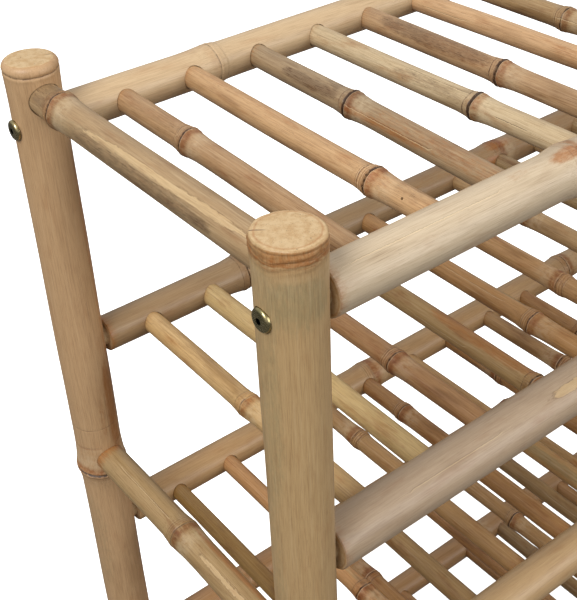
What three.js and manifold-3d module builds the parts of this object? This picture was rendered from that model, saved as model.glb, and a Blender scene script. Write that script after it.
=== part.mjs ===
// Tall slatted entryway rack of natural bamboo: four posts, five slatted tiers and end bars,
// pulled together by eight furniture bolts. Millimetres, +Z up.
// +X runs along the length, -Y is the front, and the origin is on the floor, in the middle.
import * as THREE from "three";
import { mergeVertices } from "three/addons/utils/BufferGeometryUtils.js";
import Module from "manifold-3d";

// Overall layout, axis to axis of the posts.
const POST_SPAN_X = 766;
const POST_SPAN_Y = 290;
const FIRST_TIER_HEIGHT = 57;
const TIER_STEPS = [191, 188, 198, 200]; // rises between the rail axes, from the floor up
const POST_ABOVE_TOP_TIER = 46;

// Posts: hollow culms, open at the foot and closed by the diaphragm at the top.
const POST_DIAMETER = 40;
const POST_BORE = 24;
const POST_TOP_THICKNESS = 20;
const POST_EDGE_ROUND = 2.5;
const POST_FOOT_CHAMFER = 1.2;
const POST_RINGS = [150, 500]; // heights of the culm's rings

// Rails along the length, cut square and held by a thinner tenon at each end.
const FRONT_RAIL_DIAMETER = 33;
const BACK_RAIL_DIAMETER = 30;
const TENON_DIAMETER = 18;
const TENON_LENGTH = 12;
const FRONT_RAIL_RINGS = [198, 545]; // from the left end of the full-width part
const BACK_RAIL_RINGS = [144, 461];

// Slats from rail to rail, let into the rails at their full width.
const SLAT_COUNT = 12;
const SLAT_DIAMETER = 17.8;
const SLAT_MARGIN = 60.5; // from a post's axis to the nearest slat's axis
const SLAT_SEAT = 10; // depth of the hole in the rail
// The top tier's holes are drilled by eye, so they stray along the rails.
const TOP_DRIFT_BACK = [3, 3, 5, 5, 1, -1, -1, 1, 3, -1, 2, 0];
const TOP_DRIFT_FRONT = [-3, 0, -3, 8, 1, 7, 2, -2, 2, 3, -1, 1];

// End bars from front post to back post.
const END_BAR_DIAMETER = 24;
const END_BAR_SEAT = 9; // depth of the hole in the post
const END_BAR_RISES = [23, -312, -647]; // above the top tier's rail axis
const END_BAR_RING = 130; // from the back end

// Furniture bolts through the posts into the rails of the top and bottom tiers.
const BOLT_HEAD_DIAMETER = 15;
const BOLT_HEAD_THICKNESS = 3.2;
const BOLT_SHANK_DIAMETER = 6;
const BOLT_SHANK_LENGTH = 58;
const BOLT_SEAT_DEPTH = 1.4; // flat spot cut in the round post
const BOLT_HOLE_SPARE = 0.6; // the bolt's hole is this much wider than its shank
const BOLT_HEAD_EDGE = 1.6; // straight side of the head, under its dome
const BOLT_TIP_CHAMFER = 1;
const HEX_KEY = 4; // across flats
const HEX_DEPTH = 1.9;

// Culm ring: a low ridge round the stem.
const RING_RISE = 1.1;
const RING_HALF_WIDTH = 4;
const CLEARANCE = 0.3; // between any two pieces that touch
const OVERCUT = 5; // how far a cutting tool runs past the surface
const MERGE_TOLERANCE = 1e-4; // vertices closer than this are one vertex

const POST_SIDES = 14;
const RAIL_SIDES = 10;
const BAR_SIDES = 10;
const SLAT_SIDES = 8;
const HOLE_SIDES = 8;
const HEAD_SIDES = 12;

const JOINED_TIERS = 3; // the lowest tiers have their slats glued into the back rail for good

// Worked out from the values above.
const tierHeights = [FIRST_TIER_HEIGHT];
for (const step of TIER_STEPS) tierHeights.push(tierHeights.at(-1) + step);
const topTierHeight = tierHeights.at(-1);
const boltedHeights = [FIRST_TIER_HEIGHT, topTierHeight];
const postHeight = topTierHeight + POST_ABOVE_TOP_TIER;
const postX = POST_SPAN_X / 2;
const postY = POST_SPAN_Y / 2;
const postRadius = POST_DIAMETER / 2;
const frontRailRadius = FRONT_RAIL_DIAMETER / 2;
const backRailRadius = BACK_RAIL_DIAMETER / 2;
const railHalf = postX - postRadius - CLEARANCE;
const slatPitch = (POST_SPAN_X - 2 * SLAT_MARGIN) / (SLAT_COUNT - 1);
const slatFrontY = -postY + frontRailRadius - SLAT_SEAT;
const slatBackY = postY - backRailRadius + SLAT_SEAT;
const boltSeatX = postX + postRadius - BOLT_SEAT_DEPTH; // distance of the flat spot from the middle
const boltTipX = boltSeatX + CLEARANCE - BOLT_SHANK_LENGTH;

const X = new THREE.Vector3(1, 0, 0);
const Y = new THREE.Vector3(0, 1, 0);
const Z = new THREE.Vector3(0, 0, 1);

const MATERIALS = {
  post: { color: 0xc09a6b, roughness: 0.55, metalness: 0 },
  rail: { color: 0xcfae85, roughness: 0.5, metalness: 0 },
  slat: { color: 0xc39a68, roughness: 0.5, metalness: 0 },
  endBar: { color: 0xb89666, roughness: 0.5, metalness: 0 },
  bolt: { color: 0x9a8c62, roughness: 0.3, metalness: 1 },
};

const wasm = await Module();
wasm.setup();

// A closed geometry as a solid that can be joined and cut.
function solidOf(geometry) {
  geometry.deleteAttribute("normal");
  geometry.deleteAttribute("uv");
  const merged = mergeVertices(geometry, MERGE_TOLERANCE);
  const source = merged.index.array;
  const triVerts = [];
  for (let i = 0; i < source.length; i += 3) {
    const [a, b, c] = source.slice(i, i + 3);
    if (a !== b && b !== c && c !== a) triVerts.push(a, b, c);
  }
  return new wasm.Manifold(
    new wasm.Mesh({
      numProp: 3,
      vertProperties: merged.attributes.position.array,
      triVerts: new Uint32Array(triVerts),
    }),
  );
}

// A turned piece: its profile is [radius, distance] pairs along `direction`, starting at `from`.
function turned(profile, sides, from, direction) {
  const points = profile.map(([radius, distance]) => new THREE.Vector2(radius, distance));
  const geometry = new THREE.LatheGeometry(points, sides);
  const turn = new THREE.Quaternion().setFromUnitVectors(Y, direction.clone().normalize());
  geometry.applyQuaternion(turn);
  geometry.translate(from.x, from.y, from.z);
  return solidOf(geometry);
}

// A plain round rod.
function rod(radius, length, sides, from, direction) {
  return turned([[0, 0], [radius, 0], [radius, length], [0, length]], sides, from, direction);
}

// The side of a culm from its start to its end, with a ridge at each ring.
function culmSide(radius, start, end, rings) {
  const side = [[radius, start]];
  for (const ring of rings) {
    side.push([radius, ring - RING_HALF_WIDTH], [radius + RING_RISE, ring], [radius, ring + RING_HALF_WIDTH]);
  }
  side.push([radius, end]);
  return side;
}

function at(x, y, z) {
  return new THREE.Vector3(x, y, z);
}

function tenonSocket(side, y, z) {
  return rod(TENON_DIAMETER / 2 + CLEARANCE, postRadius + OVERCUT, RAIL_SIDES,
    at(side * postX, y, z), at(-side, 0, 0));
}

function endBarSocket(side, face, z) {
  const bottom = postY - postRadius + END_BAR_SEAT + CLEARANCE;
  const radius = END_BAR_DIAMETER / 2 + CLEARANCE;
  return rod(radius, END_BAR_SEAT + OVERCUT, BAR_SIDES, at(side * postX, face * bottom, z), at(0, -face, 0));
}

// The through hole for a bolt's shank and the flat spot for its head.
function boltHole(side, y, z) {
  const hole = rod((BOLT_SHANK_DIAMETER + BOLT_HOLE_SPARE) / 2, postRadius + OVERCUT, HOLE_SIDES,
    at(side * postX, y, z), at(side, 0, 0));
  const seat = rod(BOLT_HEAD_DIAMETER / 2 + CLEARANCE, BOLT_SEAT_DEPTH + OVERCUT, HEAD_SIDES,
    at(side * boltSeatX, y, z), at(side, 0, 0));
  return hole.add(seat);
}

function post(side, face) {
  const radius = postRadius;
  const ceiling = postHeight - POST_TOP_THICKNESS;
  const roundMiddle = POST_EDGE_ROUND * (1 - Math.SQRT1_2);
  const profile = [
    [0, ceiling],
    [POST_BORE / 2, ceiling],
    [POST_BORE / 2, 0],
    [radius - POST_FOOT_CHAMFER, 0],
    ...culmSide(radius, POST_FOOT_CHAMFER, postHeight - POST_EDGE_ROUND, POST_RINGS),
    [radius - roundMiddle, postHeight - roundMiddle],
    [radius - POST_EDGE_ROUND, postHeight],
    [0, postHeight],
  ];
  const y = face * postY;
  let solid = turned(profile, POST_SIDES, at(side * postX, y, 0), Z);
  for (const z of tierHeights) solid = solid.subtract(tenonSocket(side, y, z));
  for (const rise of END_BAR_RISES) solid = solid.subtract(endBarSocket(side, face, topTierHeight + rise));
  for (const z of boltedHeights) solid = solid.subtract(boltHole(side, y, z));
  return solid;
}

// One slat's start at the back rail and its run to the front rail.
function slatLine(index, tier) {
  const isTop = tier === tierHeights.length - 1;
  const x = -postX + SLAT_MARGIN + index * slatPitch;
  const back = at(x + (isTop ? TOP_DRIFT_BACK[index] : 0), slatBackY, tierHeights[tier]);
  const front = at(x + (isTop ? TOP_DRIFT_FRONT[index] : 0), slatFrontY, tierHeights[tier]);
  return { back, run: front.clone().sub(back) };
}

function slat(index, tier) {
  const { back, run } = slatLine(index, tier);
  return rod(SLAT_DIAMETER / 2, run.length(), SLAT_SIDES, back, run);
}

// The holes that one tier's slats need, longer than the slats by the clearance at both ends.
function slatHole(index, tier) {
  const { back, run } = slatLine(index, tier);
  const direction = run.clone().normalize();
  const from = back.clone().addScaledVector(direction, -CLEARANCE);
  return rod(SLAT_DIAMETER / 2 + CLEARANCE, run.length() + 2 * CLEARANCE, SLAT_SIDES, from, direction);
}

function rail(face, tier) {
  const radius = face < 0 ? frontRailRadius : backRailRadius;
  const rings = face < 0 ? FRONT_RAIL_RINGS : BACK_RAIL_RINGS;
  const tenon = TENON_DIAMETER / 2;
  const shoulder = TENON_LENGTH + 2 * railHalf;
  const whole = shoulder + TENON_LENGTH;
  const ringsFromTip = rings.map((ring) => ring + TENON_LENGTH);
  const profile = [
    [0, 0],
    [tenon, 0],
    [tenon, TENON_LENGTH],
    ...culmSide(radius, TENON_LENGTH, shoulder, ringsFromTip),
    [tenon, shoulder],
    [tenon, whole],
    [0, whole],
  ];
  const y = face * postY;
  const z = tierHeights[tier];
  let solid = turned(profile, RAIL_SIDES, at(-railHalf - TENON_LENGTH, y, z), X);
  if (boltedHeights.includes(z)) {
    for (const side of [-1, 1]) {
      const tip = at(side * (boltTipX - CLEARANCE), y, z);
      solid = solid.subtract(rod((BOLT_SHANK_DIAMETER + BOLT_HOLE_SPARE) / 2, BOLT_SHANK_LENGTH, HOLE_SIDES,
        tip, at(side, 0, 0)));
    }
  }
  return solid;
}

function railWithHoles(face, tier) {
  let solid = rail(face, tier);
  for (let index = 0; index < SLAT_COUNT; index += 1) solid = solid.subtract(slatHole(index, tier));
  return solid;
}

function railWithSlats(face, tier) {
  let solid = rail(face, tier);
  for (let index = 0; index < SLAT_COUNT; index += 1) solid = solid.add(slat(index, tier));
  return solid;
}

function endBar(side, rise) {
  const reach = postY - postRadius + END_BAR_SEAT;
  const profile = [[0, 0], ...culmSide(END_BAR_DIAMETER / 2, 0, 2 * reach, [END_BAR_RING]), [0, 2 * reach]];
  return turned(profile, BAR_SIDES, at(side * postX, reach, topTierHeight + rise), at(0, -1, 0));
}

function bolt(side, y, z) {
  const head = BOLT_HEAD_DIAMETER / 2;
  const shank = BOLT_SHANK_DIAMETER / 2;
  const top = BOLT_SHANK_LENGTH + BOLT_HEAD_THICKNESS;
  const dome = BOLT_HEAD_THICKNESS - BOLT_HEAD_EDGE;
  const profile = [
    [0, 0],
    [shank - BOLT_TIP_CHAMFER, 0],
    [shank, BOLT_TIP_CHAMFER],
    [shank, BOLT_SHANK_LENGTH],
    [head, BOLT_SHANK_LENGTH],
    [head, BOLT_SHANK_LENGTH + BOLT_HEAD_EDGE],
    [head - dome / 2, top - dome / 3],
    [head - 1.5 * dome, top],
    [0, top],
  ];
  const solid = turned(profile, HEAD_SIDES, at(side * boltTipX, y, z), at(side, 0, 0));
  const keyRadius = HEX_KEY / Math.sqrt(3);
  const keyFloor = boltTipX + top - HEX_DEPTH;
  return solid.subtract(rod(keyRadius, HEX_DEPTH + OVERCUT, 6, at(side * keyFloor, y, z), at(side, 0, 0)));
}

const rack = new THREE.Group();

function addPart(name, solid, material) {
  const mesh = solid.getMesh();
  const geometry = new THREE.BufferGeometry();
  geometry.setAttribute("position", new THREE.BufferAttribute(mesh.vertProperties, 3));
  geometry.setIndex(new THREE.BufferAttribute(mesh.triVerts, 1));
  geometry.computeVertexNormals();
  const piece = new THREE.Mesh(geometry, new THREE.MeshStandardMaterial(material));
  piece.name = name;
  rack.add(piece);
}

const SIDES = [["left", -1], ["right", 1]];
const FACES = [["front", -1], ["back", 1]];
const LEVELS = [["top", topTierHeight], ["bottom", FIRST_TIER_HEIGHT]];

for (const [faceName, face] of FACES) {
  for (const [sideName, side] of SIDES) {
    addPart(`post_${faceName}_${sideName}`, post(side, face), MATERIALS.post);
    for (const [levelName, height] of LEVELS) {
      addPart(`bolt_${levelName}_${faceName}_${sideName}`, bolt(side, face * postY, height), MATERIALS.bolt);
    }
  }
}

for (const [sideName, side] of SIDES) {
  END_BAR_RISES.forEach((rise, index) => {
    addPart(`end_bar_${sideName}_${index + 1}`, endBar(side, rise), MATERIALS.endBar);
  });
}

// Tiers are numbered from the floor up.
tierHeights.forEach((height, tier) => {
  const number = tier + 1;
  addPart(`rail_front_${number}`, railWithHoles(-1, tier), MATERIALS.rail);
  if (tier < JOINED_TIERS) {
    addPart(`rail_back_with_slats_${number}`, railWithSlats(1, tier), MATERIALS.rail);
    return;
  }
  addPart(`rail_back_${number}`, railWithHoles(1, tier), MATERIALS.rail);
  for (let index = 0; index < SLAT_COUNT; index += 1) {
    addPart(`slat_${number}_${String(index + 1).padStart(2, "0")}`, slat(index, tier), MATERIALS.slat);
  }
});

export default rack;
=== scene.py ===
# %% [markdown]
# # A tall slatted rack of natural bamboo
# The real rack is made of whole bamboo stems. Four posts stand up, rails run along the length with
# thin slats let into them, end bars tie the front posts to the back ones, and bolts pull the rails
# tight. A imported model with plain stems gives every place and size. The bench work here is to turn
# each plain stem into a grown one, with rings, scars, stains and fibres, and to leave it in its place.

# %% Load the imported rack
import math
import random
import bmesh
import bpy
import numpy as np
from mathutils import Matrix, Vector


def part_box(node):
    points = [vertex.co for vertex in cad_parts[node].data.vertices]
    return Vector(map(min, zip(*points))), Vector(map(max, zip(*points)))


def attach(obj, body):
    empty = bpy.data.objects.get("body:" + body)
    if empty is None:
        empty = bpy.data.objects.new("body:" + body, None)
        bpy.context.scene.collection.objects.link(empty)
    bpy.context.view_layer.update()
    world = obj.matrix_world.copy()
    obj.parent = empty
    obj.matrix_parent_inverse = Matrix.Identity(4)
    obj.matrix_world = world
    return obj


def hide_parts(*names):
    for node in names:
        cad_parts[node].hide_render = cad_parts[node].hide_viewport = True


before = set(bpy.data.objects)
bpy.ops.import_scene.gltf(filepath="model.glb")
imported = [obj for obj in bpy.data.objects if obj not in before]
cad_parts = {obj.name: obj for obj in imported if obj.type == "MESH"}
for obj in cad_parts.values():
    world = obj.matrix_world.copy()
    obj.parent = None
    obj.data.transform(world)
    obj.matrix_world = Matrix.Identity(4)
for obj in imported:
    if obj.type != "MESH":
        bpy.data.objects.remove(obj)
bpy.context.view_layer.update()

# %% [markdown]
# ## Reading the places of the stems
# A stem could be placed by typing its numbers again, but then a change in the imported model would
# not reach it. Each stem's axis is taken from the box round its plain stand-in instead. A stand-in
# is a little narrower than round on some sides, so only its middle and its ends are used.

# %% Measure axes and heights
def middle(node):
    low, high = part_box(node)
    return (low + high) / 2

TIERS = (1, 2, 3, 4, 5)                       # counted from the floor up
SIDES = {"left": -1, "right": 1}
FACES = {"front": -1, "back": 1}
post_at = {(face, side): middle(f"post_{face}_{side}") for face in FACES for side in SIDES}
post_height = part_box("post_front_left")[1].z
tier_at = {tier: middle(f"rail_front_{tier}").z for tier in TIERS}
print("post height", round(post_height, 4), "tiers", [round(z, 4) for z in tier_at.values()])

# %% [markdown]
# ## How a stem lies
# Every stem is made standing at the origin, because rings and holes are easy to describe there: a
# height along the stem and an angle round it. It is then laid in its place with one matrix. The
# stem's own X axis is turned as far up as it can go, so angle 0 is always the top of a lying stem.

# %% Laying a stem between two points
def laid(start, end):
    along = (end - start).normalized()
    up = Vector((0, 0, 1)) if abs(along.z) < 0.9 else Vector((1, 0, 0))
    across = (up - up.dot(along) * along).normalized()
    turn = Matrix((across, along.cross(across), along)).transposed().to_4x4()
    return Matrix.Translation(start) @ turn

def standing(foot):
    return Matrix.Translation((foot.x, foot.y, 0))

# %% [markdown]
# ## Growth rings
# Bamboo is a row of tubes with a ring between each pair. A ring is a narrow dark groove with a lip
# on each side. The stem swells more on one side of it, and a few millimetres away on the other side
# runs a thinner line, where a sheath once wrapped the young stem. Some slats are cut near the root,
# where the rings crowd together like turns of rope. A bump in the material alone would leave the
# outline straight, so the rings are moved into the mesh, where they show against the light.

# %% Describe a ring and its height
class Ring:
    """A ring at a distance from the stem's start in millimetres, with its swelling and lines."""
    def __init__(self, at, swell=0.7, grows=1, rope=0.0, double=1.0, rough=0.0, lean=0.03, dark=1.0,
                 halo=1.0):
        self.at, self.swell, self.grows, self.halo = at, swell, grows, halo
        self.rope, self.double, self.rough, self.lean, self.dark = rope, double, rough, lean, dark

def hump(distance, width):
    return np.exp(-(distance / width) ** 2)

def ring_distance(ring, angle, height, radius, seed):
    """Signed millimetres from the ring's groove, following its tilt and its waviness."""
    tilt = ring.lean * radius * np.cos(angle - seed)
    wave = 0.35 * np.sin(2 * angle + 1.7 * seed) + 0.2 * np.sin(5 * angle + 2.9 * seed)
    return (height - ring.at - tilt - wave * (1 + 2.5 * ring.rough)) * ring.grows

def ring_relief(ring, d, angle, radius, seed):
    """How far the ring lifts the surface, in millimetres."""
    size = 1 + 0.3 * (radius - 9) / 9
    d = d / size
    relief = ring.swell * np.where(d < 0, hump(d, 6.5), hump(d, 11))
    lips = 0.40 * hump(d - 1.5, 1.1) + 0.45 * hump(d + 1.4, 1.0)
    relief += min(ring.dark, 1.15) ** 2 * (lips - 0.9 * hump(d, 0.6))
    collar = np.tanh((d + 6.2) / 0.5) - np.tanh((d + 0.3) / 0.5)
    relief += ring.double * (0.13 * collar + 0.12 * hump(d + 5.4, 0.8) - 0.25 * hump(d + 6.7, 0.6))
    for turn in (3.4, 5.6, 7.9):
        relief += ring.rope * (0.30 * hump(d + turn, 0.75) - 0.22 * hump(d + turn + 1.1, 0.5))
    torn = np.sin(7 * angle + seed) + np.sin(11 * angle + 3 * seed) + np.sin(d * 2.1 + 4 * angle)
    return size * (relief + ring.rough * 0.12 * torn * hump(d, 5))

print("a ring lifts a slat by", round(float(ring_relief(Ring(0), np.array([1.5]), 0, 9, 1)[0]), 2), "mm")

# %% [markdown]
# ## Turning a stem
# A stem starts as its half outline, a few vertices and edges, which the spin operator turns round
# the axis. Rows of vertices lie close together near a ring, where the surface changes quickly, and
# far apart elsewhere. Merging the doubles closes the seam and the poles.

# %% Spin an outline into a stem
FINE_ROW, PLAIN_ROW, RING_REACH = 0.75, 9.0, 15.0      # millimetres

def rows_between(low, high, rings):
    rows, height = [], low
    while height < high - 1e-6:
        rows.append(height)
        near = any(abs(height - ring.at) < RING_REACH for ring in rings)
        step = FINE_ROW if near else PLAIN_ROW
        ahead = [ring.at - RING_REACH for ring in rings if ring.at - RING_REACH > height + 1e-6]
        height = min([height + step, high] + ahead)
    return rows + [high]

def spin_outline(outline, sides):
    bm = bmesh.new()
    points = [bm.verts.new((radius / 1000, 0, height / 1000)) for radius, height in outline]
    edges = [bm.edges.new(pair) for pair in zip(points, points[1:])]
    bmesh.ops.spin(bm, geom=points + edges, cent=(0, 0, 0), axis=(0, 0, 1), angle=2 * math.pi,
                   steps=sides, use_merge=True, use_duplicate=False)
    bmesh.ops.remove_doubles(bm, verts=bm.verts, dist=1e-6)
    bmesh.ops.recalc_face_normals(bm, faces=bm.faces)
    return bm

# %% [markdown]
# ## Making the surface grow
# A turned stem is perfect, and bamboo is not. The section is a little oval, the surface rises and
# falls slowly, and the whole stem bows by about a millimetre between its ends. The bow fades out
# at the ends, so the stem still meets its sockets; the other changes move only the outer skin.

# %% Move the turned surface
def grow(bm, stem):
    points = np.array([vert.co[:] for vert in bm.verts]) * 1000
    radius, angle = np.hypot(points[:, 0], points[:, 1]), np.arctan2(points[:, 1], points[:, 0])
    height, seed = points[:, 2], stem["seed"]
    relief = stem["oval"] * np.cos(2 * (angle - seed))
    relief += 0.12 * np.sin(height / 23 + seed) * np.sin(3 * angle + 2 * seed)
    relief += 0.15 * np.sin(height / 61 + 3 * seed)
    for ring in stem["rings"]:
        d = ring_distance(ring, angle, height, stem["radius"], seed)
        relief += ring_relief(ring, d, angle, stem["radius"], seed)
    for bump_at, bump_angle, width, lift in stem["bumps"]:
        away = np.hypot(height - bump_at, stem["radius"] * wrapped(angle - bump_angle))
        relief += lift * hump(away, width)
    skin = np.clip((radius - 0.8 * stem["radius"]) / (0.2 * stem["radius"]), 0, 1)
    inside = (height > -0.01) & (height < stem["length"] + 0.01)
    new_radius = radius + relief * skin * inside
    part = np.clip(height / stem["length"], 0, 1)
    bow = stem["bow"] * np.sin(math.pi * part) ** 2
    x = new_radius * np.cos(angle) + bow * math.cos(2.3 * seed)
    y = new_radius * np.sin(angle) + bow * math.sin(2.3 * seed)
    for vert, px, py in zip(bm.verts, x, y):
        vert.co.x, vert.co.y = px / 1000, py / 1000

def wrapped(angle):
    return (angle + math.pi) % (2 * math.pi) - math.pi

# %% [markdown]
# ## Notes for the finishes
# The fibres must run along each stem whichever way it lies, and the stains and cracks belong to one
# place on one stem. So each stem carries notes on its vertices: where the point is along and across
# the stem, how far it is from the nearest ring, and how much stain, pale skin, green or soot it has.
# The distances change evenly from vertex to vertex, so a material can draw a hair-thin line from
# them. The notes are taken after the holes are cut, so the edges of the holes have them too.

# %% Write the notes
def write_note(mesh, name, kind, values):
    note = mesh.attributes.new(name, kind, "POINT")
    field = {"FLOAT": "value", "FLOAT_VECTOR": "vector", "FLOAT_COLOR": "color"}[kind]
    note.data.foreach_set(field, np.ascontiguousarray(values, dtype=np.float32).ravel())

def mark(kind, angle, at, half_width, half_length, strength=1, turn=0):
    """A patch by its kind, its middle (radians, millimetres) and its half sizes in millimetres."""
    return {"kind": kind, "angle": angle, "at": at, "half_width": half_width, "half_length": half_length,
            "strength": strength, "turn": turn}

def patch_strength(patch, angle, height, radius):
    """1 in the middle of a patch and 0 from its edge on."""
    across = radius * wrapped(angle - patch["angle"] - patch["turn"] * (height - patch["at"]) / radius)
    u, v = across / patch["half_width"], (height - patch["at"]) / patch["half_length"]
    return patch["strength"] * np.clip(1.6 * (1 - u ** 2 - v ** 4), 0, 1)

FAR_AWAY, HALF_WAY = 99.0, 38.0         # millimetres: nothing near, and between two rings

def note_stem(mesh, place, stem):
    count = len(mesh.vertices)
    points = np.empty(count * 3)
    mesh.vertices.foreach_get("co", points)
    back = np.array(place.inverted())
    points = (points.reshape(-1, 3) @ back[:3, :3].T + back[:3, 3]) * 1000
    angle, height, seed = np.arctan2(points[:, 1], points[:, 0]), points[:, 2], stem["seed"]
    nearest = np.full(count, FAR_AWAY)
    kind, aura = np.zeros((count, 3)), np.zeros((count, 3))
    for ring in stem["rings"]:
        d = ring_distance(ring, angle, height, stem["radius"], seed)
        closer = np.abs(d) < np.abs(nearest)
        nearest = np.where(closer, d, nearest)
        kind[closer] = (ring.rope, ring.double * ring.dark, ring.dark)
        aura[closer] = (ring.halo, ring.rough, 0)
    far = np.abs(nearest) > HALF_WAY        # the distance changes its sign out there
    kind[far], aura[far] = 0, 0
    aura[:, 2] = stem["crack_dark"]
    tones = np.zeros((count, 4))
    for patch in stem["patches"]:
        strength = patch_strength(patch, angle, height, stem["radius"])
        column = ("stain", "pale", "green", "soot").index(patch["kind"])
        tones[:, column] = np.maximum(tones[:, column], strength)
    crack = np.full(count, FAR_AWAY)
    for at_angle, low, high, drift in stem["cracks"]:
        line = wrapped(angle - at_angle - drift * (height - low) / 1000) * stem["radius"]
        beyond = np.maximum(np.maximum(low - height, height - high), 0)
        line = line + np.where(line < 0, -1, 1) * beyond * 0.5
        crack = np.where(np.abs(line) < np.abs(crack), line, crack)
    shifted = points + [(seed * 97) % 211, (seed * 53) % 173, seed * 311 % 907]    # its own grain
    write_note(mesh, "grain", "FLOAT_VECTOR", shifted)
    write_note(mesh, "ring_away", "FLOAT", nearest)
    write_note(mesh, "ring_kind", "FLOAT_VECTOR", kind)
    write_note(mesh, "ring_aura", "FLOAT_VECTOR", aura)
    write_note(mesh, "tones", "FLOAT_COLOR", tones)
    write_note(mesh, "crack_away", "FLOAT", crack)
    write_note(mesh, "rim", "FLOAT", np.hypot(points[:, 0], points[:, 1]) / stem["radius"])
    write_note(mesh, "paint", "FLOAT_COLOR", np.tile((*stem["paint"], 1.0), (count, 1)))

# %% [markdown]
# ## Recipes for materials
# A material is a small kitchen of nodes. Writing every node out takes many lines, so this helper
# adds a node, fills its sockets and hands back its result in one short call.

# %% A short way to write nodes
class Recipe:
    def __init__(self, name):
        self.material = bpy.data.materials.new(name)
        self.material.use_nodes = True
        self.tree = self.material.node_tree
        self.skin = self.tree.nodes["Principled BSDF"]

    def fill(self, socket, value):
        if isinstance(value, bpy.types.NodeSocket):
            self.tree.links.new(value, socket)
        else:
            socket.default_value = value

    def put(self, kind, values, **choices):
        node = self.tree.nodes.new("ShaderNode" + kind)
        for key, choice in choices.items():
            setattr(node, key, choice)
        for key, value in values.items():
            self.fill(node.inputs[key], value)
        return node

    def read(self, note):
        return self.put("Attribute", {}, attribute_name=note)

    def calc(self, work, *values, clamp=False):
        return self.put("Math", dict(enumerate(values)), operation=work, use_clamp=clamp).outputs[0]

    def both(self, *parts):
        """The product of the parts, which is 1 only where every one of them is 1."""
        return parts[0] if len(parts) == 1 else self.calc("MULTIPLY", parts[0], self.both(*parts[1:]))

    def noise(self, vector, scale, detail=2.0, roughness=0.5, shift=(0, 0, 0)):
        stretched = self.put("Mapping", {"Vector": vector, "Scale": scale, "Location": shift})
        made = self.put("TexNoise", {"Vector": stretched.outputs[0], "Scale": 1.0, "Detail": detail,
                                     "Roughness": roughness})
        return made.outputs["Fac"]

    def step(self, value, low, high):
        """0 below low, 1 above high, eased between; swap them to turn it round."""
        ends = {"Value": value, "From Min": min(low, high), "From Max": max(low, high),
                "To Min": 0.0 if low < high else 1.0, "To Max": 1.0 if low < high else 0.0}
        return self.put("MapRange", ends, interpolation_type="SMOOTHSTEP").outputs[0]

    def mix(self, amount, under, over, blend="MIX"):
        node = self.put("Mix", {}, data_type="RGBA", blend_type=blend)
        self.fill(node.inputs[0], amount)
        self.fill(node.inputs[6], under)
        self.fill(node.inputs[7], over)
        return node.outputs[2]

    def lay(self, amount, shade, blend="MIX"):
        """Lay one more colour over what the skin has so far."""
        self.colour = self.mix(amount, self.colour, ink(shade), blend)

    def bump(self, height, strength, distance=0.0004):
        made = self.put("Bump", {"Strength": strength, "Distance": distance, "Height": height})
        self.fill(self.skin.inputs["Normal"], made.outputs[0])

    def line(self, away, half_width, soft):
        """1 on a line at distance 0 and 0 beyond its edge."""
        return self.step(self.calc("ABSOLUTE", away), half_width + soft, half_width)

def tint(text):
    """A colour written as six hex digits, in the linear values that shaders use."""
    parts = [int(text[i:i + 2], 16) / 255 for i in (0, 2, 4)]
    return tuple(v / 12.92 if v <= 0.04045 else ((v + 0.055) / 1.055) ** 2.4 for v in parts)

def ink(text):
    return (*tint(text), 1.0)

print("cream in linear values:", [round(v, 3) for v in tint("e6cfa5")])
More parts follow.
